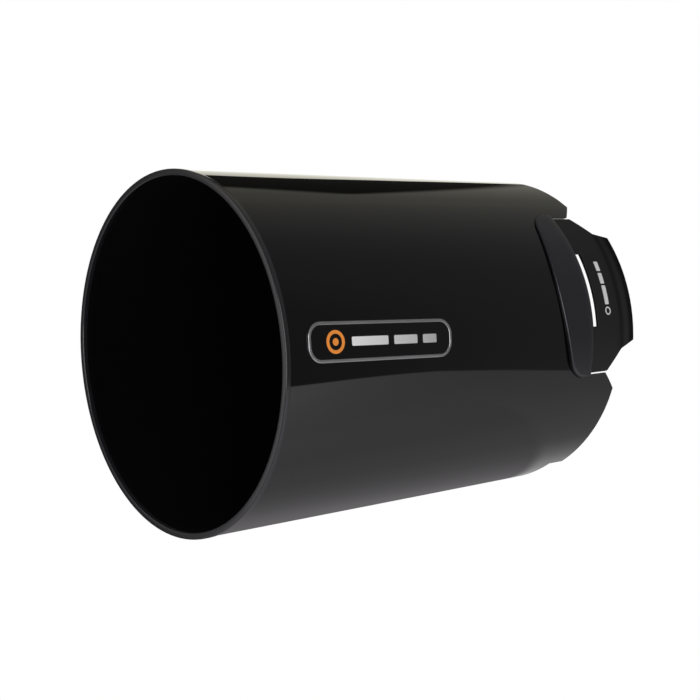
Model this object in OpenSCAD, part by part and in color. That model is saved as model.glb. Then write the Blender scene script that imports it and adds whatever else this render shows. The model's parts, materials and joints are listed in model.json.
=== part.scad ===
// Dew shield (lens shade) for a Schmidt-Cassegrain telescope.
// A glossy hollow tube, open at both ends, that slides over the telescope's front cell.
// Two soft-touch tabs, 180 degrees apart, flex outwards and grip the cell.
// World frame: +Z up, the tube's axis along Y, the front opening towards -Y.
// Origin: on the axis, in the plane of the shell's rear edge.
// Parts are drawn with the axis along local Z, where z is the distance in front of the
// rear edge, and module world() turns them into place. Angles are measured about the
// axis from +X towards world +Z.

/* [Tube] */
// Inside diameter of the felt, which the front cell slides into
bore_d = 232; // [200:1:300]
// Overall length of the tube, without the tabs
tube_l = 318; // [250:1:400]
// Wall of the shell
wall_t = 2.4; // [2:0.1:4]
// Thickness of the felt liner
felt_t = 1.6; // [1:0.1:3]

/* [Front trim] */
// How far the trim stands out from the shell
trim_proud = 0.5; // [0.3:0.1:1.5]
// Depth of the trim's lips along the tube
trim_lip_l = 3.4; // [2.5:0.1:6]

/* [Tabs] */
// Angle of the right-hand tab above the horizontal
tab_angle = 18.8; // [0:0.1:45]
// Half width of each notch in the shell, across the tab
notch_half_w = 60.4; // [50:0.1:70]
// Length of each notch from the rear edge
notch_l = 40; // [35:0.5:60]
// Gap between a tab and each side of its notch
side_gap = 1.1; // [0.8:0.1:4]
// Thickness of the flexing plate
plate_t = 2.1; // [1.6:0.1:2.3]
// How far the plate reaches behind the shell
plate_reach = 12.5; // [6:0.5:20]
// How far the plate's rear lip flares outwards
lip_flare = 2.8; // [0:0.1:4]
// Size of the plate's chamfered rear corners
plate_chamfer = 14.2; // [8:0.1:20]
// How far each end of the flared lip tapers in
flare_taper = 5; // [0:0.5:9]
// Half length of the flex slot, across the tab
slot_half_w = 27.8; // [15:0.1:40]
// Width of the flex slot, along the tube
slot_w = 10.6; // [4:0.1:12]

/* [Grip lip] */
// Height of the lip above the shell, at its middle
lip_h = 2.2; // [1.8:0.1:5]
// Radius of the lip's crown, which is a little flatter than the shell
lip_crown_r = 126; // [121:1:200]
// Sideways shift of the crown, so that one end of the lip stands out more
lip_lean = 1.6; // [0:0.1:2]
// Half length of the lip, across the tab
lip_half_w = 62.2; // [61:0.1:70]
// Depth of the lip along the tube, at its middle
lip_depth = 34; // [28:0.5:45]
// Radius of the crescent's front edge
lip_arc_r = 155; // [120:1:300]
// Radius of the crescent's front corners
lip_corner_r = 18; // [4:0.5:20]

/* [Rail notch] */
// Angle of the notch that clears the telescope's rail, from the right-hand tab
rail_turn = -90; // [-120:1:-60]
// Half width of the rail notch
rail_half_w = 30.9; // [20:0.1:45]
// Depth of the rail notch
rail_l = 15.5; // [8:0.5:30]

/* [Badge] */
// Angle of the badge above the horizontal
badge_angle = 6.4; // [-20:0.1:20]
// Distance of the badge's centre behind the front face
badge_y = 77; // [70:1:150]
// Length of the badge
badge_l = 120; // [80:1:130]
// Height of the badge
badge_h = 24.8; // [16:0.2:32]
// Width of the raised border
badge_border = 2; // [1:0.1:4]
// Slant of the badge, its front end raised
badge_tilt = 1.6; // [-5:0.1:5]

/* [Screws] */
// Nominal radius of the tab screws
screw_r = 1.5; // [1:0.1:2]

/* [Hidden] */
$fn = 180;
eps = 0.01;
round_fn = 48;
// How far a cutting shape runs past the surface it cuts
past = 1;

bore_r = bore_d / 2;
shell_ir = bore_r + felt_t;
shell_or = shell_ir + wall_t;
trim_or = shell_or + trim_proud;
trim_face_t = 1.6;
trim_bead_r = 0.5;
trim_ir_gap = 0.2;
prism_ir = bore_r / 2;
prism_or = shell_or * 1.3;

shell_front = tube_l - trim_face_t;
felt_front = tube_l - trim_lip_l;
felt_rear = 0;
felt_margin = 3;
notch_chamfer_w = 11.5;
notch_chamfer_l = 14;

// Flexing plate, in z: its webs start just behind the lip's rib
rib_l = 2;
rib_gap = 1.2;
rib_inset = 0.2;
rib_cut_w = 20;
lip_overhang = 4.6;
lip_clear = 0.6;
lip_roll_l = 8.6;
lip_roll_h = 1.4;
lip_roll_steps = 6;
lip_offset = lip_crown_r - shell_or - lip_h;
plate_front = notch_l - rib_l - rib_gap;
plate_half_w = notch_half_w - side_gap;
plate_ir = shell_or - plate_t;
flare_start = -2;
lip_rear_z = notch_l - rib_l - lip_overhang;
lip_front_z = lip_rear_z + lip_depth;

// Pad under the plate
pad_ir = bore_r + 0.1;
pad_half_w = 48;
pad_front = 22;
pad_rear = -1;
pad_chamfer = 10;

// Clamp bar inside the shell, level with the felt
clamp_front = 60;
clamp_rear = notch_l + 1;
clamp_half_w = 54;
clamp_end_r = 6;
clamp_gap = 0.5;

// Screws from the inside, through the clamp bar and the shell into the grip lip
screw_z = 51;
screw_angles = [-21, -7, 7, 21];
screw_head_r = 2.9;
screw_rim_t = 0.4;
screw_head_l = 1.4;
screw_sunk = 0.2;
screw_tip_r = shell_or + 1.2;
hole_clear = 0.15;

tab_angles = [tab_angle, tab_angle + 180];

// Badge heights above the shell
badge_plate_t = 0.6;
badge_border_t = 1;
badge_mark_t = 0.85;
badge_corner_r = 10;
emblem_r = 7.2;
emblem_ring_w = 2.2;
emblem_dot_r = 2.3;
emblem_x = -39;
dash_h = 5.6;
dashes = [[-26, 30], [9, 20], [34, 12]];

// ---- placing ----

// Turns the local axis Z into world -Y, and local Y into world +Z
module world() rotate([90, 0, 0]) children();

// Takes a flat outline, with x across the tab and y along the tube, and extrudes it
// outwards from the axis at angle a
module radial_prism(a, r1 = prism_or)
    rotate([0, 0, a])
    rotate([90, 0, 90])
    translate([0, 0, prism_ir])
    linear_extrude(r1 - prism_ir)
    children();

// A ring about the local axis
module ring(r0, r1, z0, z1)
    rotate_extrude()
    translate([r0, z0])
    square([r1 - r0, z1 - z0]);

// ---- outlines: x across the tab, y along the tube ----

module rounded_rect(w, h, r) {
    square([w - 2 * r, h], center = true);
    square([w, h - 2 * r], center = true);
    for (sx = [-1, 1], sy = [-1, 1])
        translate([sx * (w / 2 - r), sy * (h / 2 - r)]) circle(r, $fn = round_fn);
}

// Notch in the shell: open to the rear, with chamfered rear corners
module notch_outline(grow = 0)
    polygon([
        [-notch_half_w - notch_chamfer_w - grow - notch_chamfer_w, -notch_chamfer_l],
        [-notch_half_w - notch_chamfer_w - grow, 0],
        [-notch_half_w - grow, notch_chamfer_l],
        [-notch_half_w - grow, notch_l + grow],
        [notch_half_w + grow, notch_l + grow],
        [notch_half_w + grow, notch_chamfer_l],
        [notch_half_w + notch_chamfer_w + grow, 0],
        [notch_half_w + notch_chamfer_w + grow + notch_chamfer_w, -notch_chamfer_l]
    ]);

module rail_outline(grow = 0)
    translate([-rail_half_w - grow, -rail_l])
    square([2 * (rail_half_w + grow), 2 * rail_l + grow]);

module plate_outline()
    difference() {
        polygon([
            [-plate_half_w, plate_front],
            [plate_half_w, plate_front],
            [plate_half_w, flare_start + plate_chamfer],
            [plate_half_w - plate_chamfer, flare_start],
            [plate_half_w - plate_chamfer - flare_taper, -plate_reach],
            [-plate_half_w + plate_chamfer + flare_taper, -plate_reach],
            [-plate_half_w + plate_chamfer, flare_start],
            [-plate_half_w, flare_start + plate_chamfer]
        ]);
        translate([-slot_half_w, plate_front - slot_w])
            square([2 * slot_half_w, slot_w + past]);
    }

// Crescent with a straight rear edge and rounded front corners
module lip_outline() {
    arc_y = lip_front_z - lip_arc_r;
    corner_x = lip_half_w - lip_corner_r;
    reach = lip_arc_r - lip_corner_r;
    corner_y = arc_y + sqrt(reach * reach - corner_x * corner_x);
    touch_x = corner_x * lip_arc_r / reach;
    translate([-lip_half_w, lip_rear_z])
        square([2 * lip_half_w, corner_y - lip_rear_z]);
    intersection() {
        translate([0, arc_y]) circle(lip_arc_r);
        translate([-touch_x, lip_rear_z]) square([2 * touch_x, lip_arc_r]);
    }
    for (s = [-1, 1])
        translate([s * corner_x, corner_y]) circle(lip_corner_r, $fn = round_fn);
}

module pad_outline()
    polygon([
        [-pad_half_w, pad_front],
        [pad_half_w, pad_front],
        [pad_half_w, pad_rear + pad_chamfer],
        [pad_half_w - pad_chamfer, pad_rear],
        [-pad_half_w + pad_chamfer, pad_rear],
        [-pad_half_w, pad_rear + pad_chamfer]
    ]);

module clamp_outline(grow = 0)
    translate([0, (clamp_front + clamp_rear) / 2])
    rounded_rect(
        2 * clamp_half_w + 2 * grow,
        clamp_front - clamp_rear + 2 * grow,
        clamp_end_r
    );

module badge_outline(inset = 0)
    rounded_rect(badge_h - 2 * inset, badge_l - 2 * inset, badge_corner_r - inset);

// ---- screws ----

// Runs its children along each screw of one tab, local Z pointing outwards
module at_screws(a)
    for (turn = screw_angles)
        rotate([0, 0, a + turn])
        translate([0, 0, screw_z])
        rotate([0, 90, 0])
        children();

// Countersunk screw whose head starts at radius base and tip ends at radius tip
module screw_shape(base, tip, grow = 0)
    rotate_extrude($fn = round_fn)
    polygon([
        [0, base],
        [screw_head_r + grow, base],
        [screw_head_r + grow, bore_r + screw_rim_t],
        [screw_r + grow, bore_r + screw_head_l],
        [screw_r + grow, tip],
        [0, tip]
    ]);

module screw_holes(a)
    at_screws(a)
    screw_shape(bore_r - past, screw_tip_r + hole_clear, hole_clear);

// ---- tube ----

module shell()
    color([0.02, 0.02, 0.022])
    world()
    difference() {
        ring(shell_ir, shell_or, 0, shell_front);
        for (a = tab_angles) {
            radial_prism(a) notch_outline();
            screw_holes(a);
        }
        radial_prism(tab_angle + rail_turn) rail_outline();
    }

// U-shaped edge trim over the front of the shell and the felt
module front_trim()
    color([0.12, 0.12, 0.13])
    world()
    rotate_extrude()
    difference() {
        trim_section();
        translate([shell_ir, 0]) square([wall_t, shell_front]);
    }

module trim_section() {
    inner = bore_r + trim_ir_gap;
    translate([inner, tube_l - trim_lip_l])
        square([trim_or - inner, trim_lip_l - trim_bead_r]);
    translate([inner + trim_bead_r, tube_l - trim_bead_r])
        square([trim_or - inner - 2 * trim_bead_r, trim_bead_r]);
    for (x = [inner + trim_bead_r, trim_or - trim_bead_r])
        translate([x, tube_l - trim_bead_r]) circle(trim_bead_r, $fn = round_fn);
}

module felt_liner()
    color([0.03, 0.03, 0.03])
    world()
    difference() {
        ring(bore_r, shell_ir, felt_rear, felt_front);
        for (a = tab_angles) {
            radial_prism(a) notch_outline(felt_margin);
            radial_prism(a) clamp_outline(clamp_gap);
        }
        radial_prism(tab_angle + rail_turn) rail_outline(felt_margin);
    }

// ---- badge ----

// A slice of the shell's surface, cut to a flat outline whose centre is the badge's
module badge_slice(t0, t1)
    world()
    intersection() {
        ring(shell_or + t0, shell_or + t1, 0, tube_l);
        radial_prism(badge_angle)
            translate([0, tube_l - badge_y])
            rotate(-badge_tilt)
            children();
    }

module badge_plate()
    color([0.02, 0.02, 0.02])
    badge_slice(0, badge_plate_t)
    badge_outline(badge_border);

module badge_border()
    color([0.6, 0.6, 0.62])
    badge_slice(0, badge_border_t)
    difference() {
        badge_outline();
        badge_outline(badge_border);
    }

// Plain ring with a dot
module badge_emblem()
    color([0.95, 0.45, 0.05])
    badge_slice(badge_plate_t, badge_mark_t)
    translate([0, -emblem_x]) {
        difference() {
            circle(emblem_r, $fn = round_fn);
            circle(emblem_r - emblem_ring_w, $fn = round_fn);
        }
        circle(emblem_dot_r, $fn = round_fn);
    }

// Plain dashes of different lengths
module badge_dashes()
    color([0.75, 0.75, 0.77])
    badge_slice(badge_plate_t, badge_mark_t)
    for (d = dashes)
        translate([-dash_h / 2, -d[0] - d[1]])
        square([dash_h, d[1]]);

// ---- tabs ----

// Raised crescent on the shell, with a rib that closes the front of the notch
module grip_lip(a)
    color([0.13, 0.13, 0.15])
    world()
    difference() {
        intersection() {
            rotate([0, 0, a]) translate([-lip_offset, -lip_lean, 0]) rotate_extrude() crown_section();
            radial_prism(a) lip_outline();
        }
        rotate_extrude() under_lip();
        screw_holes(a);
        rib_trim(a);
    }

// Section of the crown about its own axis, rolling down to its rear edge
module crown_section()
    polygon(concat(
        [[0, lip_rear_z - eps]],
        [for (i = [0:lip_roll_steps]) crown_point(90 * (1 - i / lip_roll_steps))],
        [[lip_crown_r, lip_front_z + eps], [0, lip_front_z + eps]]
    ));

// Point of the roll, from the rear edge at 90 degrees to the full height at 0
function crown_point(turn) = [
    lip_crown_r - lip_roll_h * (1 - cos(turn)),
    lip_rear_z - eps + lip_roll_l * (1 - sin(turn))
];

// Room under the lip: the shell in front of the notch, the rib, and the plate with a gap
module under_lip()
    polygon([
        [0, lip_rear_z - past],
        [shell_or + lip_clear, lip_rear_z - past],
        [shell_or + lip_clear, notch_l - rib_l],
        [shell_ir, notch_l - rib_l],
        [shell_ir, notch_l],
        [shell_or, notch_l],
        [shell_or, lip_front_z + past],
        [0, lip_front_z + past]
    ]);

// Keeps the rib inside the notch
module rib_trim(a)
    for (s = [-1, 1])
        radial_prism(a, shell_or)
        translate([s * (notch_half_w - rib_inset + rib_cut_w / 2), notch_l - rib_l / 2])
        square([rib_cut_w, rib_l + 2 * past], center = true);

module clamp_bar(a)
    color([0.1, 0.1, 0.1])
    world()
    difference() {
        intersection() {
            ring(bore_r, shell_ir, clamp_rear - past, clamp_front + past);
            radial_prism(a) clamp_outline();
        }
        screw_holes(a);
    }

// Flexing plate, flush with the shell, with a flared rear lip and a slot at its root
module tab_plate(a)
    color([0.09, 0.09, 0.1])
    world()
    intersection() {
        rotate_extrude() plate_section();
        radial_prism(a) plate_outline();
    }

module plate_section()
    polygon([
        [plate_ir, plate_front],
        [shell_or, plate_front],
        [shell_or, flare_start],
        [shell_or + lip_flare, -plate_reach],
        [plate_ir + lip_flare, -plate_reach],
        [plate_ir, flare_start]
    ]);

module tab_pad(a)
    color([0.05, 0.05, 0.05])
    world()
    intersection() {
        ring(pad_ir, plate_ir, pad_rear, pad_front);
        radial_prism(a) pad_outline();
    }

module tab_screws()
    color([0.5, 0.5, 0.52])
    world()
    for (a = tab_angles)
        at_screws(a) screw_shape(bore_r + screw_sunk, screw_tip_r);

// ---- nodes ----

shell();
front_trim();
felt_liner();
badge_plate();
badge_border();
badge_emblem();
badge_dashes();
grip_lip(tab_angles[0]);  // right_grip_lip
grip_lip(tab_angles[1]);  // left_grip_lip
clamp_bar(tab_angles[0]);  // right_clamp_bar
clamp_bar(tab_angles[1]);  // left_clamp_bar
tab_plate(tab_angles[0]);  // right_tab_plate
tab_plate(tab_angles[1]);  // left_tab_plate
tab_pad(tab_angles[0]);  // right_tab_pad
tab_pad(tab_angles[1]);  // left_tab_pad
tab_screws();
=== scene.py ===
"""Looks for a telescope dew shield: a glossy black tube with a satin front trim, a felt lining,
a badge and two soft-touch tabs. Everything is built in the CAD frame, in metres: +Z up, the
tube's axis along Y, the front opening towards -Y. Heights along the tube are given as the
distance in front of the shell's rear edge, which is the plane Y = 0."""

import json
import math

import bmesh
import bpy
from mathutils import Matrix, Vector, noise


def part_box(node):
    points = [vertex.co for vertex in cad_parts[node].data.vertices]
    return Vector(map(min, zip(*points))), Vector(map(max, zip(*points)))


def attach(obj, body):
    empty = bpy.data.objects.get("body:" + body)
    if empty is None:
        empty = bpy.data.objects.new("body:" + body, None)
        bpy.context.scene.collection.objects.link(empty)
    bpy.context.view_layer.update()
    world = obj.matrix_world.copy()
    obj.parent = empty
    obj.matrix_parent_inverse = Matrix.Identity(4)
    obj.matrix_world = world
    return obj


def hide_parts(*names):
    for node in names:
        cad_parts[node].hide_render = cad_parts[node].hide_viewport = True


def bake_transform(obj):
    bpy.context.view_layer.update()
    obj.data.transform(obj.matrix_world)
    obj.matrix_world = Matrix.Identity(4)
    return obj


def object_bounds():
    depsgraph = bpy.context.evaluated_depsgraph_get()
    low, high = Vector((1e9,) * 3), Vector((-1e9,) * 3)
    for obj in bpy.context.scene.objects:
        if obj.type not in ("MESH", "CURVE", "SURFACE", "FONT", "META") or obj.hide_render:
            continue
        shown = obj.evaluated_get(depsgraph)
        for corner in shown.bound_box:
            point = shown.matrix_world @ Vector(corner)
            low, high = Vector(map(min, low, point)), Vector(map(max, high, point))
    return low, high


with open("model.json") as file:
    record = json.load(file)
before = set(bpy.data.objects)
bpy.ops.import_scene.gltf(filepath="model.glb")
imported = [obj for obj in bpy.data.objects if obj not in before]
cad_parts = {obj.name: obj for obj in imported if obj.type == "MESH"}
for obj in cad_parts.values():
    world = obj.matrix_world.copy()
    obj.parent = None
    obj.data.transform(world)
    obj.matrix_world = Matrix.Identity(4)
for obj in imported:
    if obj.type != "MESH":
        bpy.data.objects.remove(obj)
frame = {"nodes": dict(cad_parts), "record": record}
CAD_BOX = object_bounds()
MM = 0.001
TAU = 2 * math.pi
ROUNDING = 1e-6
MERGE = 1e-6

# ---------------------------------------------------------------- sizes read from the frame


def centre_angle(node):
    """Angle about the axis, from +X towards +Z, of the middle of a CAD node."""
    lo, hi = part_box(node)
    side = Vector((lo.x + hi.x, 0, lo.z + hi.z)).normalized()
    turns = [math.atan2(v.co.z * side.x - v.co.x * side.z, v.co.x * side.x + v.co.z * side.z)
             for v in frame["nodes"][node].data.vertices]
    return math.atan2(side.z, side.x) + (min(turns) + max(turns)) / 2


def local_box(node, angle):
    """Lowest and highest (across, height, outwards) of a CAD node, seen from the axis at angle."""
    out = Vector((math.cos(angle), 0, math.sin(angle)))
    across = Vector((-math.sin(angle), 0, math.cos(angle)))
    pts = [(v.co.dot(across), -v.co.y, v.co.dot(out)) for v in frame["nodes"][node].data.vertices]
    return [min(c) for c in zip(*pts)], [max(c) for c in zip(*pts)]


SHELL_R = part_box("shell")[1].z
SHELL_FRONT = -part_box("shell")[0].y
TRIM_R = min(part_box("front_trim")[1].x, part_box("front_trim")[1].z)
TRIM_FRONT = -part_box("front_trim")[0].y
TRIM_REAR = -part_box("front_trim")[1].y
SCOPE_BORE = next(m for m in frame["record"]["mounts"] if m["name"] == "scope_bore")
BORE_R = SCOPE_BORE["dims"]["r_mm"] * MM
WALL = 2.4 * MM
SHELL_IR = SHELL_R - WALL
TABS = {side: centre_angle(side + "_tab_plate") % TAU for side in ("right", "left")}
RAIL_ANGLE = TABS["right"] + math.radians(270)

# Outline of the tab notch and the rail notch in the shell's rear edge
NOTCH_HALF = 60.4 * MM
NOTCH_L = 40 * MM
CHAMFER_W = 11.5 * MM
CHAMFER_L = 14 * MM
RAIL_HALF = 30.9 * MM
RAIL_L = 15.5 * MM
FELT_MARGIN = 3 * MM

# ---------------------------------------------------------------- mesh helpers


def spread(a, b, step):
    """Evenly spaced values from a to b, no further apart than step."""
    count = max(1, math.ceil(abs(b - a) / step - ROUNDING))
    return [a + (b - a) * i / count for i in range(count + 1)]


def through(breaks, step):
    """Values through all the breaks, in order, no further apart than step."""
    values = [breaks[0]]
    for a, b in zip(breaks, breaks[1:]):
        values += spread(a, b, step)[1:]
    return values


def smooth(t):
    """Smooth step from 0 to 1."""
    t = min(1.0, max(0.0, t))
    return t * t * (3 - 2 * t)


def at(radius, angle, height):
    """Point at a radius, an angle about the axis and a height along the tube."""
    return Vector((radius * math.cos(angle), -height, radius * math.sin(angle)))


def beside(angle, radius, across, height):
    """Point at a radius, at a distance across from the line at angle."""
    return at(radius, angle + math.asin(across / radius), height)


def new_object(name, bm, material, body, cad=()):
    """Turns a bmesh into a smooth-shaded piece that rides on a body and stands for CAD nodes."""
    bmesh.ops.remove_doubles(bm, verts=bm.verts, dist=MERGE)
    bmesh.ops.recalc_face_normals(bm, faces=bm.faces)
    mesh = bpy.data.meshes.new(name)
    bm.to_mesh(mesh)
    bm.free()
    mesh.materials.append(material)
    mesh.polygons.foreach_set("use_smooth", [True] * len(mesh.polygons))
    obj = bpy.data.objects.new(name, mesh)
    bpy.context.scene.collection.objects.link(obj)
    if body:
        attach(obj, body)
    if cad:
        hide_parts(*cad)
    return obj


def soften(obj, width, degrees=40):
    """Rounds the sharp edges of a piece and keeps its broad faces true."""
    mod = obj.modifiers.new("soften", "BEVEL")
    mod.width = width
    mod.segments = 3
    mod.limit_method = "ANGLE"
    mod.angle_limit = math.radians(degrees)
    mod.harden_normals = True


def settle(obj):
    """Applies a piece's modifiers."""
    graph = bpy.context.evaluated_depsgraph_get()
    mesh = bpy.data.meshes.new_from_object(obj.evaluated_get(graph))
    obj.modifiers.clear()
    obj.data = mesh


def add_loop(bm, *verts):
    """Adds a face through the vertices, without repeats."""
    kept = [v for i, v in enumerate(verts) if v is not verts[i - 1]]
    if len(set(kept)) > 2:
        bm.faces.new(kept)


def loft(bm, rings, close=False):
    """Joins closed rings of points, given as lists of equal length, with quads."""
    rows = [[bm.verts.new(p) for p in ring] for ring in rings]
    pairs = list(zip(rows, rows[1:])) + ([(rows[-1], rows[0])] if close else [])
    for a, b in pairs:
        for j in range(len(a)):
            add_loop(bm, a[j - 1], a[j], b[j], b[j - 1])
    return rows


def revolve(bm, profile, steps=360):
    """Revolves a closed (radius, height) profile about the axis."""
    loft(bm, [[at(r, TAU * i / steps, z) for r, z in profile] for i in range(steps)], close=True)


def arc(cx, cy, radius, start, end, steps):
    """Points of an arc about (cx, cy), with angles in degrees."""
    return [(cx + radius * math.cos(math.radians(a)), cy + radius * math.sin(math.radians(a)))
            for a in (start + (end - start) * i / steps for i in range(steps + 1))]


# ---------------------------------------------------------------- walls cut from a tube
# A wall is a sheet bent about the axis, given by columns and levels. A column is an angle and a
# distance across from it, so that cuts stay parallel to the direction the tool comes from.


def wall(bm, columns, levels, rear, outer, inner, closed=True, hole=None):
    """Adds a closed wall. rear(middle, column) is the height of the rear edge of the cell whose
    middle is given, outer and inner turn (column, height) into points, and hole says which
    cells are left out."""
    count = len(columns)
    faces = []
    for j in range(count if closed else count - 1):
        k = (j + 1) % count
        a, b = columns[j], columns[k]
        middle = (a[0], (a[1] + b[1]) / 2) if a[0] == b[0] else None
        ends = {j: rear(middle, a), k: rear(middle, b)}
        for top, low in zip(levels, levels[1:]):
            if hole and middle and hole(middle[1], (top + low) / 2):
                continue
            key = lambda col, z: (col, round(max(z, ends[col]), 8))
            loop = [key(j, top), key(k, top), key(k, low), key(j, low)]
            loop = [p for i, p in enumerate(loop) if p != loop[i - 1]]
            if len(set(loop)) > 2:
                faces.append(loop)
    keys = sorted({p for loop in faces for p in loop})
    out = {p: bm.verts.new(outer(columns[p[0]], p[1])) for p in keys}
    into = {p: bm.verts.new(inner(columns[p[0]], p[1])) for p in keys}
    edges = {}
    for loop in faces:
        bm.faces.new([out[p] for p in loop])
        bm.faces.new([into[p] for p in reversed(loop)])
        for a, b in zip(loop, loop[1:] + loop[:1]):
            if edges.pop((b, a), None) is None:
                edges[(a, b)] = True
    for a, b in edges:
        bm.faces.new((out[b], out[a], into[a], into[b]))


def on_radius(radius):
    """Surface of a wall at a constant radius."""
    return lambda column, z: beside(column[0], radius, column[1], z)


def tube_columns(breaks, rail_half, step):
    """Columns once round the tube: parallel cuts near the notches, plain angles between them."""
    right, left = TABS["right"], TABS["left"]
    tab_gap = math.radians(41)
    rail_gap = math.radians(17)
    notches = (
        (right, tab_gap, breaks, left - tab_gap),
        (left, tab_gap, breaks, RAIL_ANGLE - rail_gap),
        (RAIL_ANGLE, rail_gap, [rail_half], right + TAU - tab_gap),
    )
    columns = []
    for angle, gap, edges, end in notches:
        cuts = sorted({-e for e in edges} | {0.0} | set(edges))
        columns += [(angle, u) for u in through(cuts, step)]
        columns += [(a, 0.0) for a in spread(angle + gap, end, step / SHELL_R)]
    return columns


def is_near(angle, other):
    return abs(math.remainder(angle - other, TAU)) < ROUNDING


def rear_edge(tab_rear, rail_half, rail_l):
    """Rear edge of a wall round the tube, from its height beside a tab as a function."""
    def height(middle, column):
        if middle is None:
            return 0.0
        across = abs(middle[1])
        if is_near(middle[0], RAIL_ANGLE):
            return rail_l if across < rail_half else 0.0
        if any(is_near(middle[0], a) for a in TABS.values()):
            return tab_rear(across, abs(column[1]))
        return 0.0
    return height


def chamfer(across, start):
    """Height of the shell's rear edge beside a notch, whose corner is cut off from start."""
    return max(0.0, CHAMFER_L * (1 - (across - start) / CHAMFER_W))


# ---------------------------------------------------------------- crowned pieces
# A crowned piece stands on a flat outline of (point, inward normal) pairs, and closes over a
# spine, a line across its middle that the outline's points are drawn to.


def rounded_outline(half_w, half_l, radius, step=3 * MM, turn=8):
    """Outline of a rounded rectangle, long in its second direction."""
    side = spread(-(half_l - radius), half_l - radius, step)
    points = [((half_w, y), (-1, 0)) for y in side]
    cap = [(math.cos(a), math.sin(a)) for a in (math.pi / 2 * i / turn for i in range(turn + 1))]
    for sx, sy, order in ((1, 1, 1), (-1, 1, -1), (-1, -1, 1), (1, -1, -1)):
        if (sx, sy) == (-1, -1):
            points += [((-half_w, y), (1, 0)) for y in reversed(side)]
        points += [((sx * (half_w - radius + radius * c), sy * (half_l - radius + radius * s)),
                    (-sx * c, -sy * s)) for c, s in cap[::order]]
    return [p for i, p in enumerate(points) if math.dist(p[0], points[i - 1][0]) > 1e-7]


def crowned(bm, outline, edge, spine, top, under, place, steps=6):
    """edge(point, normal) lists (inset, drop) pairs of the rounded edge under the crown, top and
    under give the height of the crown and the underside at a point, and place puts a point and
    a height in space."""
    feet = [Vector(p) for p, _ in outline]
    goals = [Vector(spine(p)) for p in feet]
    rims = [[(Vector(p) + Vector(n) * inset, drop) for inset, drop in edge(p, n)]
            for p, n in outline]
    rings = []
    for i in range(steps, -1, -1):
        ring = [foot.lerp(goal, i / steps) for foot, goal in zip(feet, goals)]
        rings.append([place(p, under(p)) for p in ring])
    for level in zip(*rims):
        rings.append([place(p, top(p) - drop) for p, drop in level])
    for i in range(1, steps + 1):
        ring = [rim[-1][0].lerp(goal, i / steps) for rim, goal in zip(rims, goals)]
        rings.append([place(p, top(p)) for p in ring])
    loft(bm, rings)


def fillet(radius, steps=5):
    """A rounded edge as (inset, drop) pairs, from the wall to the crown."""
    turns = [math.pi / 2 * i / steps for i in range(steps + 1)]
    return [(radius * (1 - math.cos(a)), radius * (1 - math.sin(a))) for a in turns]


# ---------------------------------------------------------------- node helpers


class Value:
    """A number in a node tree, with ordinary arithmetic."""

    def __init__(self, tree, socket):
        self.tree, self.socket = tree, socket

    def math(self, operation, *others, clamp=False):
        node = self.tree.nodes.new("ShaderNodeMath")
        node.operation = operation
        node.use_clamp = clamp
        for item, target in zip((self, *others), node.inputs):
            if isinstance(item, Value):
                self.tree.links.new(item.socket, target)
            else:
                target.default_value = item
        return Value(self.tree, node.outputs[0])

    def __add__(self, other):
        return self.math("ADD", other)

    def __sub__(self, other):
        return self.math("SUBTRACT", other)

    def __mul__(self, other):
        return self.math("MULTIPLY", other)

    __radd__, __rmul__ = __add__, __mul__

    def __rsub__(self, other):
        return (self * -1.0) + other

    def rise(self, a, b):
        """0 below a and 1 above b, with a smooth step between them."""
        node = self.tree.nodes.new("ShaderNodeMapRange")
        node.interpolation_type = "SMOOTHSTEP"
        self.tree.links.new(self.socket, node.inputs["Value"])
        for name, item in (("From Min", a), ("From Max", b)):
            if isinstance(item, Value):
                self.tree.links.new(item.socket, node.inputs[name])
            else:
                node.inputs[name].default_value = item
        return Value(self.tree, node.outputs["Result"])

    def edge(self, place, half):
        """Smooth step of the given half width at a place, which may be another value."""
        return (self - place).rise(-half, half)

    def curve(self, *points):
        """Straight lines through (input, output) points, in ascending order."""
        low, high = points[0][0], points[-1][0]
        top = max(abs(y) for _, y in points)
        share = (self - low) * (1 / (high - low))
        node = self.tree.nodes.new("ShaderNodeFloatCurve")
        self.tree.links.new(share.math("ADD", 0.0, clamp=True).socket, node.inputs["Value"])
        line = node.mapping.curves[0]
        for x, y in points[1:-1]:
            line.points.new((x - low) / (high - low), y / top / 2 + 0.5)
        line.points[0].location = (0, points[0][1] / top / 2 + 0.5)
        line.points[len(points) - 1].location = (1, points[-1][1] / top / 2 + 0.5)
        for p in line.points:
            p.handle_type = "VECTOR"
        node.mapping.update()
        return (Value(self.tree, node.outputs[0]) - 0.5) * (2 * top)


def mix(share, a, b):
    """a where share is 0 and b where it is 1."""
    return a + (b - a) * share


# ---------------------------------------------------------------- materials


def noise_value(tree, scale, detail=4, roughness=0.6, stretch=(1, 1, 1)):
    """Noise in the piece's own space, with about scale features a metre."""
    nodes, links = tree.nodes, tree.links
    coords = nodes.new("ShaderNodeTexCoord")
    squeeze = nodes.new("ShaderNodeVectorMath")
    squeeze.operation = "MULTIPLY"
    squeeze.inputs[1].default_value = stretch
    texture = nodes.new("ShaderNodeTexNoise")
    texture.inputs["Scale"].default_value = scale
    texture.inputs["Detail"].default_value = detail
    texture.inputs["Roughness"].default_value = roughness
    links.new(coords.outputs["Object"], squeeze.inputs[0])
    links.new(squeeze.outputs[0], texture.inputs["Vector"])
    return Value(tree, texture.outputs[0])


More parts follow.
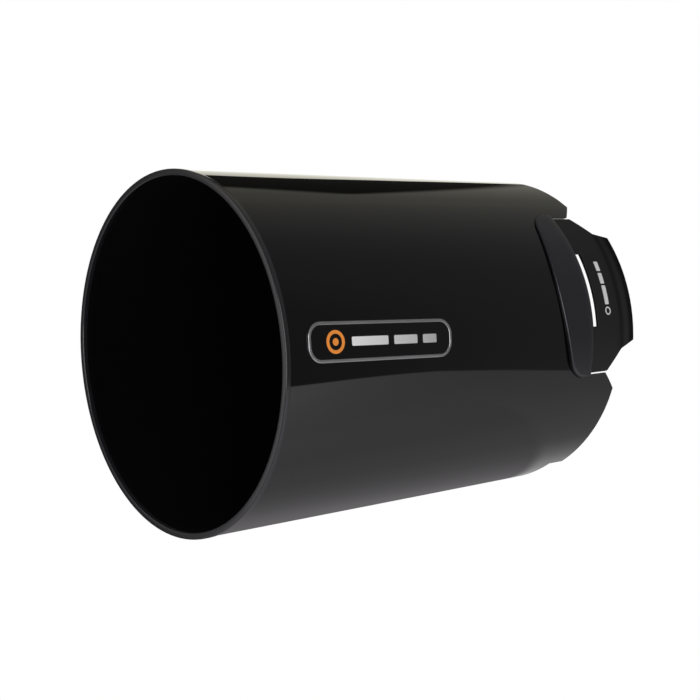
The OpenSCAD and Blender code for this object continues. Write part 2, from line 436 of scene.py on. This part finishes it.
def fade(made, *points, shine=False):
    """Paints light and shade into a material: scales its colour, and its shine too, along Y in
    the piece's own space, by straight lines through (place, share) points."""
    tree = made.node_tree
    shader = tree.nodes["Principled BSDF"]
    coords = tree.nodes.new("ShaderNodeTexCoord")
    split = tree.nodes.new("ShaderNodeSeparateXYZ")
    tree.links.new(coords.outputs["Object"], split.inputs[0])
    share = Value(tree, split.outputs[1]).curve(*points)
    scale = tree.nodes.new("ShaderNodeVectorMath")
    scale.operation = "SCALE"
    tree.links.new(shader.inputs["Base Color"].links[0].from_socket, scale.inputs[0])
    tree.links.new(share.socket, scale.inputs["Scale"])
    tree.links.new(scale.outputs[0], shader.inputs["Base Color"])
    if shine:
        level = share * shader.inputs["Specular IOR Level"].default_value
        tree.links.new(level.socket, shader.inputs["Specular IOR Level"])
    return made


def material(name, color, rough, grain, depth, *, mottle=0.15, patch=40, vary=0.06, metal=0.0,
             specular=0.5, coat=0.0, second=None, stretch=(1, 1, 1)):
    """Principled material whose colour and roughness drift in patches, with a grain in its
    bump. grain is the number of features a metre and depth their height in metres; second is
    an optional (grain, depth) of a coarser relief."""
    made = bpy.data.materials.new(name)
    made.use_nodes = True
    tree = made.node_tree
    links = tree.links
    shader = tree.nodes["Principled BSDF"]
    shader.inputs["Metallic"].default_value = metal
    shader.inputs["IOR"].default_value = 1.5
    shader.inputs["Specular IOR Level"].default_value = specular
    shader.inputs["Coat Weight"].default_value = coat
    shader.inputs["Coat Roughness"].default_value = 0.08
    broad = noise_value(tree, patch)
    fine = noise_value(tree, grain, 3, 0.65, stretch)
    tone = tree.nodes.new("ShaderNodeMix")
    tone.data_type = "RGBA"
    tone.inputs[6].default_value = (*[c * (1 - mottle) for c in color], 1)
    tone.inputs[7].default_value = (*[c * (1 + mottle) for c in color], 1)
    links.new((broad * 0.6 + fine * 0.4).socket, tone.inputs[0])
    links.new(tone.outputs[2], shader.inputs["Base Color"])
    dull = (broad * 0.5 + fine * 0.5 - 0.5) * (2 * vary) + rough
    links.new(dull.math("MAXIMUM", 0.02).socket, shader.inputs["Roughness"])
    height = fine * depth
    if second:
        height = height + noise_value(tree, second[0], 2, 0.5, stretch) * second[1]
    bump = tree.nodes.new("ShaderNodeBump")
    bump.inputs["Strength"].default_value = 1.0
    bump.inputs["Distance"].default_value = 1.0
    links.new(height.socket, bump.inputs["Height"])
    links.new(bump.outputs[0], shader.inputs["Normal"])
    return made


GLOSS = material("gloss_shell", (0.0016, 0.0016, 0.0017), 0.035, 700, 0.15e-6, vary=0.012, patch=14,
                 second=(60, 1.2e-6))
SATIN = material("satin_trim", (0.0170, 0.0160, 0.0185), 0.16, 2600, 1e-6, mottle=0.2, vary=0.03)
FELT = material("black_felt", (0.0008, 0.0008, 0.00085), 0.96, 2600, 120e-6, mottle=0.5, patch=160,
                specular=0.05, second=(700, 90e-6))
BADGE_BLACK = material("badge_black", (0.002, 0.002, 0.002), 0.12, 1800, 0.6e-6, vary=0.03)
SILVER = material("badge_silver", (0.40, 0.40, 0.41), 0.34, 5200, 2.5e-6, metal=0.85, mottle=0.08,
                  stretch=(1, 0.15, 1))
# Painted reflection: the dashes' colour is full at the front of the badge and halved towards the
# rear, in place of the studio's light on the foil.
FOIL_PAINTED_REFLECTION = fade(material("badge_foil", (0.80, 0.80, 0.80), 0.4, 5200, 2.5e-6, mottle=0.04),
            (-0.3, 1.0), (-0.265, 1.0), (-0.195, 0.5), (-0.15, 0.5))
ORANGE = material("badge_orange", (0.92, 0.29, 0.03), 0.28, 3000, 1.5e-6, mottle=0.05, coat=0.4)
PRINT = material("tab_print", (0.62, 0.62, 0.62), 0.5, 6000, 2e-6, mottle=0.05)
SOFT = material("soft_touch", (0.0105, 0.0096, 0.0140), 0.36, 3400, 6e-6, mottle=0.12, vary=0.05)
# Painted shade: the plate's colour and shine are darker in the crease where the rear lip turns out,
# lighter again over the lip, and darkest over its rear few millimetres.
PLATE = fade(material("soft_touch_plate", (0.0050, 0.0050, 0.0055), 0.56, 3400, 10e-6, mottle=0.12,
                      vary=0.05, specular=0.3),
             (-0.04, 1.0), (-0.002, 1.0), (0.0015, 0.55), (0.003, 0.55), (0.005, 0.9),
             (0.0075, 0.8), (0.0095, 0.3), (0.02, 0.3), shine=True)
INNER = material("inner_plastic", (0.012, 0.012, 0.012), 0.5, 1900, 12e-6, mottle=0.2)
RUBBER = material("pad_rubber", (0.010, 0.010, 0.0105), 0.72, 1500, 22e-6, mottle=0.25,
                  specular=0.3)
STEEL = material("screw_steel", (0.36, 0.36, 0.37), 0.3, 4200, 4e-6, metal=1.0, mottle=0.1)

# ---------------------------------------------------------------- the tube



def shell_rear(middle, across):
    return NOTCH_L if middle < NOTCH_HALF else chamfer(across, NOTCH_HALF)


shell_columns = tube_columns([NOTCH_HALF, NOTCH_HALF + CHAMFER_W], RAIL_HALF, 2.4 * MM)
shell_levels = through([SHELL_FRONT, NOTCH_L, RAIL_L, CHAMFER_L, 0.0], 24 * MM)
bm = bmesh.new()
wall(bm, shell_columns, shell_levels,
     rear_edge(shell_rear, RAIL_HALF, RAIL_L), on_radius(SHELL_R), on_radius(SHELL_IR))
shell = new_object("shell_tube", bm, GLOSS, "hood", ["shell"])
soften(shell, 0.35 * MM)

# Edge trim: a bead with two short lips that straddle the shell's front edge
BEAD = 0.5 * MM
TRIM_EDGE = 0.25 * MM
TRIM_IR = BORE_R + 0.2 * MM
profile = (
    arc(TRIM_R - TRIM_EDGE, TRIM_REAR + TRIM_EDGE, TRIM_EDGE, -90, 0, 4)
    + arc(TRIM_R - BEAD, TRIM_FRONT - BEAD, BEAD, 0, 90, 8)
    + arc(TRIM_IR + BEAD, TRIM_FRONT - BEAD, BEAD, 90, 180, 8)
    + arc(TRIM_IR + TRIM_EDGE, TRIM_REAR + TRIM_EDGE, TRIM_EDGE, 180, 270, 4)
    + [(SHELL_IR, TRIM_REAR), (SHELL_IR, SHELL_FRONT)]
    + [(SHELL_R, SHELL_FRONT), (SHELL_R, TRIM_REAR)]
)
bm = bmesh.new()
revolve(bm, profile)
new_object("front_trim_bead", bm, SATIN, "hood", ["front_trim"])

# Felt: glued in, so its inner face is slightly uneven
WINDOW_HALF = 54.5 * MM
WINDOW_TOP = 60.5 * MM
WINDOW_R = 6 * MM
FELT_NOTCH = NOTCH_HALF + FELT_MARGIN
FELT_GLUE = 0.02 * MM
FELT_LIFT = 0.35 * MM
FELT_WAVES = 55
FELT_RIPPLES = 160


def felt_rear(middle, across):
    """Rear edge of the felt beside a tab, where it makes room for the tab and the clamp bar."""
    if middle < WINDOW_HALF:
        past = max(0.0, across - (WINDOW_HALF - WINDOW_R))
        return WINDOW_TOP - WINDOW_R + math.sqrt(max(0.0, WINDOW_R ** 2 - past ** 2))
    if middle < FELT_NOTCH:
        return NOTCH_L + FELT_MARGIN
    return chamfer(across, FELT_NOTCH)


def felt_face(column, z):
    """Inner face of the felt, pressed back in places, and true at both ends."""
    base = beside(column[0], BORE_R, column[1], z)
    lift = 0.5 * noise.noise(base * FELT_WAVES) + 0.5 * noise.noise(base * FELT_RIPPLES)
    edge = smooth(min(z, TRIM_REAR - z) / (4 * MM))
    return base + Vector((base.x, 0, base.z)).normalized() * (FELT_LIFT * max(0.0, lift) * edge)


corner_cuts = [WINDOW_HALF - WINDOW_R * (1 - math.sin(math.pi / 2 * i / 4)) for i in range(5)]
felt_breaks = corner_cuts + [FELT_NOTCH, FELT_NOTCH + CHAMFER_W]
felt_levels = through([TRIM_REAR, WINDOW_TOP, WINDOW_TOP - WINDOW_R, NOTCH_L + FELT_MARGIN,
                       RAIL_L + FELT_MARGIN, CHAMFER_L, 0.0], 5 * MM)
bm = bmesh.new()
wall(bm, tube_columns(felt_breaks, RAIL_HALF + FELT_MARGIN, 3.2 * MM), felt_levels,
     rear_edge(felt_rear, RAIL_HALF + FELT_MARGIN, RAIL_L + FELT_MARGIN),
     on_radius(SHELL_IR - FELT_GLUE), felt_face)
new_object("felt_lining", bm, FELT, "hood", ["felt_liner"])

# ---------------------------------------------------------------- the badge

BADGE_ANGLE = centre_angle("badge_border")
BADGE_HALF_H = 12.4 * MM
BADGE_HALF_L = 60 * MM
BADGE_TILT = math.radians(1.6)
BADGE_R = 10 * MM
BORDER = 2 * MM
BORDER_T = 1.0 * MM
INLAY_T = 0.6 * MM
MARK_T = 0.85 * MM
MARK_EDGE = 0.12 * MM
low, high = local_box("badge_border", BADGE_ANGLE)
BADGE_AT = (high[1] + low[1]) / 2


def on_badge(across, along, height):
    """Point on the badge, which slants so that its front end is raised."""
    c, s = math.cos(BADGE_TILT), math.sin(BADGE_TILT)
    return beside(BADGE_ANGLE, SHELL_R + height, across * c + along * s,
                  BADGE_AT + along * c - across * s)


def badge_bar(name, mat, cad, half_w, half_l, radius, foot, crown, edge, shift=0.0):
    """Plain rounded bar on the badge, long along the tube."""
    reach = half_l - min(half_w, half_l)
    bm = bmesh.new()
    crowned(
        bm, rounded_outline(half_w, half_l, radius), lambda p, n: fillet(edge),
        lambda p: (0.0, max(-reach, min(reach, p[1]))), lambda p: crown, lambda p: foot,
        lambda p, h: on_badge(p.x, p.y + shift, h))
    return new_object(name, bm, mat, "hood", cad)


def badge_band(name, mat, cad, half_w, half_l, radius, width, foot, crown, edge, shift=0.0):
    """Raised band of the given width round an outline."""
    rise = [(inset, crown - drop) for inset, drop in fillet(edge)]
    section = [(0.0, foot)] + rise + [(width - d, h) for d, h in reversed(rise)] + [(width, foot)]
    outline = rounded_outline(half_w, half_l, radius)
    bm = bmesh.new()
    loft(bm, [[on_badge(p[0] + n[0] * d, p[1] + n[1] * d + shift, h) for p, n in outline]
              for d, h in section], close=True)
    return new_object(name, bm, mat, "hood", cad)


badge_bar("badge_inlay", BADGE_BLACK, ["badge_plate"], BADGE_HALF_H - BORDER,
          BADGE_HALF_L - BORDER, BADGE_R - BORDER, 0.0, INLAY_T, 0.05 * MM)
badge_band("badge_frame", SILVER, ["badge_border"], BADGE_HALF_H, BADGE_HALF_L,
           BADGE_R, BORDER, 0.0, BORDER_T, 0.4 * MM)

# Plain ring and dot, then plain dashes as (middle, length)
low, high = local_box("badge_emblem", BADGE_ANGLE)
EMBLEM_R = (high[1] - low[1]) / 2
EMBLEM_SHIFT = (high[1] + low[1]) / 2 - BADGE_AT
EMBLEM_BAND = 2.2 * MM
DOT_R = 2.3 * MM
DASH_HALF = 2.8 * MM
DASH_R = 0.8 * MM
DASHES = ((11, 30), (-19, 20), (-40, 12))
badge_band("badge_ring", ORANGE, ["badge_emblem"], EMBLEM_R, EMBLEM_R, EMBLEM_R,
           EMBLEM_BAND, INLAY_T, MARK_T, MARK_EDGE, EMBLEM_SHIFT)
badge_bar("badge_dot", ORANGE, [], DOT_R, DOT_R, DOT_R,
          INLAY_T, MARK_T, MARK_EDGE, EMBLEM_SHIFT)
for number, (middle, length) in enumerate(DASHES, 1):
    badge_bar(f"badge_dash_{number}", FOIL_PAINTED_REFLECTION, ["badge_dashes"], DASH_HALF,
              length / 2 * MM, DASH_R, INLAY_T, MARK_T, MARK_EDGE, middle * MM)

# ---------------------------------------------------------------- the grip lips

LIP_HALF = 62.2 * MM
LIP_REAR = 33.4 * MM
LIP_FRONT = 67.4 * MM
LIP_ARC = 155 * MM
LIP_CORNER = 18 * MM
LIP_HEEL = 1.5 * MM
LIP_H = 2.2 * MM
LIP_CROWN = 126 * MM
LIP_LEAN = 1.6 * MM
LIP_ROLL = 8.6 * MM
LIP_EDGE = 0.9 * MM
LIP_CLEAR = 0.6 * MM
LIP_SPINE = 48 * MM
LIP_ROLL_SHARE = 0.85
RIB_L = 2 * MM
RIB_INSET = 0.2 * MM


def facing(point, centre):
    """A point and the unit vector from it towards a centre."""
    x, y = centre[0] - point[0], centre[1] - point[1]
    size = math.hypot(x, y)
    return point, (x / size, y / size)


def lip_outline():
    """Crescent with a straight rear edge and rounded front corners, as (across, height)."""
    middle = (0.0, LIP_FRONT - LIP_ARC)
    x = LIP_HALF - LIP_CORNER
    corner = (x, middle[1] + math.sqrt((LIP_ARC - LIP_CORNER) ** 2 - x ** 2))
    heel = (LIP_HALF - LIP_HEEL, LIP_REAR + LIP_HEEL)
    touch = math.atan2(corner[1] - middle[1], x)
    half = [((u, LIP_REAR), (0, 1)) for u in spread(0.0, heel[0], 2.5 * MM)]
    half += [facing(p, heel) for p in arc(*heel, LIP_HEEL, -90, 0, 5)[1:]]
    half += [((LIP_HALF, y), (-1, 0)) for y in spread(heel[1], corner[1], 3 * MM)[1:]]
    half += [facing(p, corner) for p in arc(*corner, LIP_CORNER, 0, math.degrees(touch), 12)[1:]]
    half += [facing((u, middle[1] + math.sqrt(LIP_ARC ** 2 - u ** 2)), middle)
             for u in spread(LIP_ARC * math.cos(touch), 0.0, 2.5 * MM)[1:]]
    return half + [((-p[0], p[1]), (-n[0], n[1])) for p, n in half[-2:0:-1]]


def lip_height(across):
    """Height of the crown above the shell. Its axis is shifted, so one end stands out more."""
    out = math.sqrt(LIP_CROWN ** 2 - (across + LIP_LEAN) ** 2) - (LIP_CROWN - SHELL_R - LIP_H)
    return math.hypot(out, across) - SHELL_R


def lip_foot(p):
    """Height of the underside, which clears the plate behind the rib."""
    return LIP_CLEAR if p[1] < NOTCH_L - RIB_L else 0.0


def lip_top(p):
    """Height of the top surface, which rolls down to a low rear edge."""
    full = lip_height(p[0])
    past = min(1.0, max(0.0, (LIP_REAR + LIP_ROLL - p[1]) / LIP_ROLL))
    return full - LIP_ROLL_SHARE * (full - LIP_CLEAR) * (1 - math.sqrt(1 - past ** 2))


def lip_edge(p, n):
    """Rounded edge of the lip, smaller where the lip is thin."""
    return fillet(min(LIP_EDGE, 0.8 * (lip_top(p) - lip_foot(p))), 6)


def grip_lip(side):
    """Raised crescent in front of a tab, with the rib under it."""
    angle = TABS[side]
    bm = bmesh.new()
    crowned(bm, lip_outline(), lip_edge,
            lambda p: (max(-LIP_SPINE, min(LIP_SPINE, p[0])), LIP_SPINE),
            lip_top, lip_foot, lambda p, h: beside(angle, SHELL_R + h, p[0], p[1]), 12)
    # Rib that closes the front of the notch
    half = NOTCH_HALF - RIB_INSET
    corners = ((SHELL_IR, NOTCH_L - RIB_L), (SHELL_IR, NOTCH_L),
               (SHELL_R, NOTCH_L), (SHELL_R, NOTCH_L - RIB_L))
    sections = [[beside(angle, r, u, z) for r, z in corners] for u in spread(-half, half, 3 * MM)]
    ends = loft(bm, sections)
    bm.faces.new(ends[0])
    bm.faces.new(ends[-1][::-1])
    return new_object(side + "_lip_crescent", bm, SOFT, "hood", [side + "_grip_lip"])


# ---------------------------------------------------------------- the tabs

PLATE_T = 2.1 * MM
SIDE_GAP = 1.1 * MM
PLATE_HALF = NOTCH_HALF - SIDE_GAP
PLATE_REACH = 12.5 * MM
PLATE_CHAMFER = 14.2 * MM
PLATE_FRONT = 39 * MM
BEND_START = 38 * MM
BEND_END = 27 * MM
FLARE = 2.8 * MM
FLARE_START = -2 * MM
FLARE_TAPER = 5 * MM
CREASE_HALF = PLATE_HALF - PLATE_CHAMFER
FLARE_HALF = CREASE_HALF - FLARE_TAPER
SLOT_HALF = 27.8 * MM
SLOT_FRONT = 36.8 * MM
SLOT_REAR = 26.2 * MM
CREASE_SOFT = 0.6 * MM


def flare(z):
    """How far the plate stands out from the shell's radius: the rear lip turns outwards."""
    past = FLARE_START - z
    slope = FLARE / (PLATE_REACH + FLARE_START)
    if past <= -CREASE_SOFT:
        return 0.0
    if past >= CREASE_SOFT:
        return slope * past
    return slope * (past + CREASE_SOFT) ** 2 / (4 * CREASE_SOFT)


def plate_rear(middle, column):
    """Rear edge of the plate: straight, then drawn in over the flare, then chamfered."""
    across = abs(column[1])
    if across > CREASE_HALF:
        return FLARE_START + across - CREASE_HALF
    past = max(0.0, across - FLARE_HALF)
    return past / FLARE_TAPER * (PLATE_REACH + FLARE_START) - PLATE_REACH


def tab_plate(side):
    """Plate of a tab behind the fixed lip, with webs beside the slot and a rear lip that turns
    outwards.
    """
    angle = TABS[side]
    breaks = (PLATE_HALF, CREASE_HALF, FLARE_HALF, SLOT_HALF, 0.0)
    cuts = sorted({s * u for s in (-1, 1) for u in breaks})
    columns = [(angle, u) for u in through(cuts, 2.2 * MM)]
    levels = (through([PLATE_FRONT, SLOT_FRONT, SLOT_REAR], 1.7 * MM)
              + through([SLOT_REAR, PLATE_CHAMFER + FLARE_START, 0.0], 3 * MM)[1:]
              + through([0.0, FLARE_START - 2 * MM], 0.5 * MM)[1:]
              + through([FLARE_START - 2 * MM, -PLATE_REACH], 2.5 * MM)[1:])
    bm = bmesh.new()
    wall(bm, columns, levels, plate_rear,
         lambda c, z: beside(c[0], SHELL_R + flare(z), c[1], z),
         lambda c, z: beside(c[0], SHELL_R - PLATE_T + flare(z), c[1], z),
         closed=False, hole=lambda u, z: abs(u) < SLOT_HALF and SLOT_REAR < z < SLOT_FRONT)
    obj = new_object(side + "_tab_leaf", bm, PLATE, None, [side + "_tab_plate"])
    soften(obj, 0.45 * MM)
    settle(obj)
    side + "_tab"
    at(SHELL_R, angle, BEND_START)
    at(SHELL_R, angle, BEND_END)
    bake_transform(obj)


PAD_IR = BORE_R + 0.1 * MM
PAD_HALF = 48 * MM
PAD_FRONT = 22 * MM
PAD_REAR = -1 * MM
PAD_CHAMFER = 10 * MM
GROOVE_PITCH = 4.6 * MM
GROOVE_DEPTH = 0.35 * MM


def tab_pad(side):
    """Rubber pad with shallow ribs across its gripping face."""
    angle = TABS[side]
    cuts = sorted({s * u for s in (-1, 1) for u in (PAD_HALF, PAD_HALF - PAD_CHAMFER)} | {0.0})
    columns = [(angle, u) for u in through(cuts, 2.4 * MM)]
    rear = lambda middle, c: PAD_REAR + max(0.0, abs(c[1]) - (PAD_HALF - PAD_CHAMFER))

    def grip(c, z):
        groove = GROOVE_DEPTH * smooth(math.cos(TAU * z / GROOVE_PITCH) * 1.5 - 0.4)
        inside = smooth((min(PAD_FRONT - z, z - rear(None, c))) / (1.5 * MM))
        return beside(c[0], PAD_IR + groove * inside, c[1], z)

    bm = bmesh.new()
    wall(bm, columns, through([PAD_FRONT, PAD_REAR + PAD_CHAMFER, PAD_REAR], 0.6 * MM), rear,
         on_radius(SHELL_R - PLATE_T), grip, closed=False)
    obj = new_object(side + "_pad", bm, RUBBER, side + "_tab", [side + "_tab_pad"])
    soften(obj, 0.4 * MM, 50)


# The print: a plain ring, then plain dashes as (middle, length)
PRINT_AT = 13.1 * MM
PRINT_T = 0.12 * MM
PRINT_SUNK = -0.05 * MM
PRINT_RING_AT = -17.2 * MM
PRINT_RING_R = 3.1 * MM
PRINT_BAND = 1.1 * MM
PRINT_DASH_HALF = 2.2 * MM
PRINT_DASHES = ((-5.2, 14.4), (7.6, 8.4), (17.2, 7.6))


def on_tab(angle, across, along, height):
    """Point on the printed patch of a tab."""
    return beside(angle, SHELL_R + height, across, PRINT_AT + along)


def print_mark(name, body, angle, middle, half_across, half_z, radius):
    """Flat printed mark on a tab, long across the tab."""
    reach = half_across - half_z
    bm = bmesh.new()
    crowned(
        bm, rounded_outline(half_z, half_across, radius, 2 * MM, 5),
        lambda p, n: fillet(0.05 * MM, 2), lambda p: (0.0, max(-reach, min(reach, p[1]))),
        lambda p: PRINT_T, lambda p: PRINT_SUNK,
        lambda p, h: on_tab(angle, p.y + middle, p.x, h), 3)
    new_object(name, bm, PRINT, body, [])


def tab_print(side):
    """Marks printed on a tab."""
    angle, body = TABS[side], side + "_tab"
    section = [(0.0, PRINT_SUNK), (0.0, PRINT_T), (PRINT_BAND, PRINT_T), (PRINT_BAND, PRINT_SUNK)]
    outline = rounded_outline(PRINT_RING_R, PRINT_RING_R, PRINT_RING_R)
    bm = bmesh.new()
    loft(bm, [[on_tab(angle, p[1] + n[1] * d + PRINT_RING_AT, p[0] + n[0] * d, h)
               for p, n in outline] for d, h in section], close=True)
    new_object(side + "_print_ring", bm, PRINT, body, [])
    for number, (middle, length) in enumerate(PRINT_DASHES, 1):
        print_mark(f"{side}_print_dash_{number}", body, angle, middle * MM, length / 2 * MM,
                   PRINT_DASH_HALF, 0.5 * MM)


for side in TABS:
    grip_lip(side)
    tab_plate(side)
    tab_pad(side)
    tab_print(side)

for node, mat in (("right_clamp_bar", INNER), ("left_clamp_bar", INNER), ("tab_screws", STEEL)):
    data = frame["nodes"][node].data
    data.materials.clear()
    data.materials.append(mat)

# ---------------------------------------------------------------- the studio
# Camera rays see plain white. Reflections see a studio: a pale floor that brightens towards
# the right, a grey wall, a dark gap above the pale backdrop on the left, a soft box and a strip.
# The tables hold (azimuth, value) points. Azimuth and elevation are in degrees, and azimuth
# runs from +Y towards +X. The value is an elevation in HORIZON and BACKDROP, the upper edges of
# the floor and the backdrop, and a brightness in FLOOR_LIGHT and WALL_LIGHT.

HORIZON = ((-180, -12), (-60, -12), (20, -20), (35.5, -17.6), (39.6, -15), (41, -14.2),
           (44, -12.6), (47, -13), (50.5, -14.5), (70, -16), (180, -12))
BACKDROP = ((-180, -40), (-75, -40), (-62, 23.5), (-50, 23), (-47.3, 22), (-45.3, 19), (-43, 17),
            (-41.6, 14), (-40, 13), (-36, 6), (-30, -40), (180, -40))
FLOOR_LIGHT = ((-180, 0.4), (-60, 0.33), (-40, 0.39), (-31, 0.36), (-16, 0.33), (0, 0.35),
               (13, 0.43), (21.5, 0.48), (28, 0.56), (33, 0.65), (36.5, 0.71), (40, 0.76),
               (43.6, 0.87), (46.6, 1.0), (50, 1.23), (70, 1.1), (110, 0.7), (180, 0.4))
WALL_LIGHT = ((-180, 0.2), (-60, 0.28), (-30, 0.28), (-15, 0.262), (0, 0.245), (10, 0.22),
              (20, 0.2), (30, 0.182), (38, 0.18), (44, 0.165), (48, 0.143), (52, 0.14), (180, 0.2))
FLOOR_LEAST = 0.1
BACKDROP_LIGHT = 1.15
GAP_LIGHT = 0.02
BOX_LIGHT = 8.0
SHADE_DEPTH = 0.85
STRIP_LIGHT = 0.75
ROOM_LIGHT = (0.8, 0.8, 0.8, 1)
WHITE = (1, 1, 1, 1)


def near(value, middle, half, soft):
    """1 within half of the middle and 0 beyond it."""
    return 1.0 - (value - middle).math("ABSOLUTE").edge(half, soft)


def choose(tree, ray, other, chosen):
    """The chosen colour for one kind of ray, and the other for all the rest."""
    node = tree.nodes.new("ShaderNodeMix")
    node.data_type = "RGBA"
    tree.links.new(ray, node.inputs[0])
    for item, target in ((other, node.inputs[6]), (chosen, node.inputs[7])):
        if isinstance(item, tuple):
            target.default_value = item
        else:
            tree.links.new(item, target)
    return node.outputs[2]


def studio():
    world = bpy.data.worlds.new("studio")
    bpy.context.scene.world = world
    world.use_nodes = True
    tree = world.node_tree
    nodes, links = tree.nodes, tree.links
    nodes.clear()
    place = nodes.new("ShaderNodeTexCoord")
    split = nodes.new("ShaderNodeSeparateXYZ")
    links.new(place.outputs["Generated"], split.inputs[0])
    x, y, z = (Value(tree, split.outputs[i]) for i in range(3))
    az = x.math("ARCTAN2", y) * math.degrees(1)
    el = z.math("ARCSINE") * math.degrees(1)

    # Floor, a little lighter straight below, and the wall with the gap and the backdrop
    above_floor = el.edge(az.curve(*HORIZON), 0.35)
    floor = az.curve(*FLOOR_LIGHT) + (el * -1.0 - 40.0) * 0.009
    reach = az + (32.5 - el) * 0.27
    gap = (1.0 - reach.edge(-34.0, 1.2)) * (1.0 - el.edge(39.0, 1.5)) * az.edge(-75.0, 10.0)
    room = mix(gap, az.curve(*WALL_LIGHT), GAP_LIGHT)
    room = mix(1.0 - el.edge(az.curve(*BACKDROP), 0.5), room, BACKDROP_LIGHT)
    light = mix(above_floor, floor.math("MAXIMUM", FLOOR_LEAST), room)

    # Soft box on the right, then a dark band and a strip that shape the front trim
    box = az.edge(103.0, 4.0) * (1.0 - az.edge(135.0, 5.0))
    light = light + box * el.edge(-15.0, 4.0) * (1.0 - el.edge(30.0, 4.0)) * BOX_LIGHT
    level = near(el, 0.0, 25.0, 8.0)
    light = light * (1.0 - near(az, -112.0, 12.0, 3.0) * level * SHADE_DEPTH)
    light = light + near(az, -132.5, 7.0, 2.5) * level * STRIP_LIGHT

    # The wall on the left is warm, and the floor has a little less green
    warm = (1.0 - az.rise(-30.0, 12.0)) * el.edge(10.0, 8.0)
    tint = (1.0 + warm * 0.02, 0.965 + above_floor * 0.035, 1.0 - warm * 0.14)
    color = nodes.new("ShaderNodeCombineXYZ")
    for share, channel in zip(tint, color.inputs):
        links.new((light * share).socket, channel)
    rays = nodes.new("ShaderNodeLightPath").outputs
    seen = choose(tree, rays["Is Glossy Ray"], ROOM_LIGHT, color.outputs[0])
    seen = choose(tree, rays["Is Camera Ray"], seen, WHITE)
    background = nodes.new("ShaderNodeBackground")
    output = nodes.new("ShaderNodeOutputWorld")
    links.new(seen, background.inputs[0])
    links.new(background.outputs[0], output.inputs[0])


studio()


def staged_sheet(name, corners, height, glow_level=None):
    """Flat sheet that gives light, and rides on no body. glow_level turns the material's
    (across, back) place into the light that is added to whatever is behind the sheet."""
    bm = bmesh.new()
    for x, y in corners:
        bm.verts.new((x, y, height))
    bm.faces.new(bm.verts)
    made = bpy.data.materials.new(name)
    made.use_nodes = True
    tree = made.node_tree
    tree.nodes.clear()
    glow = tree.nodes.new("ShaderNodeEmission")
    output = tree.nodes.new("ShaderNodeOutputMaterial")
    surface = glow.outputs[0]
    if glow_level:
        coords = tree.nodes.new("ShaderNodeTexCoord")
        split = tree.nodes.new("ShaderNodeSeparateXYZ")
        tree.links.new(coords.outputs["Object"], split.inputs[0])
        level = glow_level(*(Value(tree, split.outputs[i]) for i in range(2)))
        tree.links.new(level.socket, glow.inputs["Strength"])
        clear = tree.nodes.new("ShaderNodeBsdfTransparent")
        both = tree.nodes.new("ShaderNodeAddShader")
        tree.links.new(surface, both.inputs[0])
        tree.links.new(clear.outputs[0], both.inputs[1])
        surface = both.outputs[0]
    tree.links.new(surface, output.inputs[0])
    sheet = new_object(name, bm, made, None)
    sheet.visible_diffuse = False
    return sheet


def open_floor_light(across, back):
    """Light of the open floor: it fades out away from the tube and at both ends."""
    light = across.curve((0.0, 0.0), (0.02, 0.38), (0.055, 0.38), (0.073, 0.2), (0.09, 0.06),
                         (0.11, 0.03), (0.16, 0.05), (0.22, 0.0))
    return light * back.rise(-0.016, 0.006) * (1.0 - back.rise(0.1, 0.16))


FLOOR_HALF = 4
FLOOR_CORNERS = ((-FLOOR_HALF, -FLOOR_HALF), (FLOOR_HALF, -FLOOR_HALF),
                 (FLOOR_HALF, FLOOR_HALF), (-FLOOR_HALF, FLOOR_HALF))
pale_floor = staged_sheet("studio_floor", FLOOR_CORNERS, CAD_BOX[0].z - 2 * MM)
pale_floor.visible_glossy = False

# Open floor behind the tube, lighter than the floor it shades, and seen only in reflections
PATCH_CORNERS = ((0.0, -0.04), (0.22, -0.04), (0.22, 0.16), (0.0, 0.16))
open_floor = staged_sheet("open_floor_patch", PATCH_CORNERS, CAD_BOX[0].z - 1.5 * MM,
                          open_floor_light)
open_floor.visible_camera = False

# The camera's place is given from the middle of the front opening, in radii of the front trim
CAMERA_PLACE = (5.622, -3.643, 0.662)
CAMERA_AIM = (-0.7489, 0.6559, -0.0951)
CAMERA_LENS = 63.37
camera = bpy.data.objects.new("camera", bpy.data.cameras.new("camera"))
bpy.context.scene.collection.objects.link(camera)
camera.data.sensor_width = 36
camera.data.lens = CAMERA_LENS
camera.location = at(0.0, 0.0, TRIM_FRONT) + Vector(CAMERA_PLACE) * TRIM_R
camera.rotation_mode = "QUATERNION"
camera.rotation_quaternion = Vector(CAMERA_AIM).to_track_quat("-Z", "Y")
camera.data.clip_start = 0.01
bpy.context.scene.camera = camera

view = bpy.context.scene.view_settings
view.view_transform = "Standard"
view.look = "None"
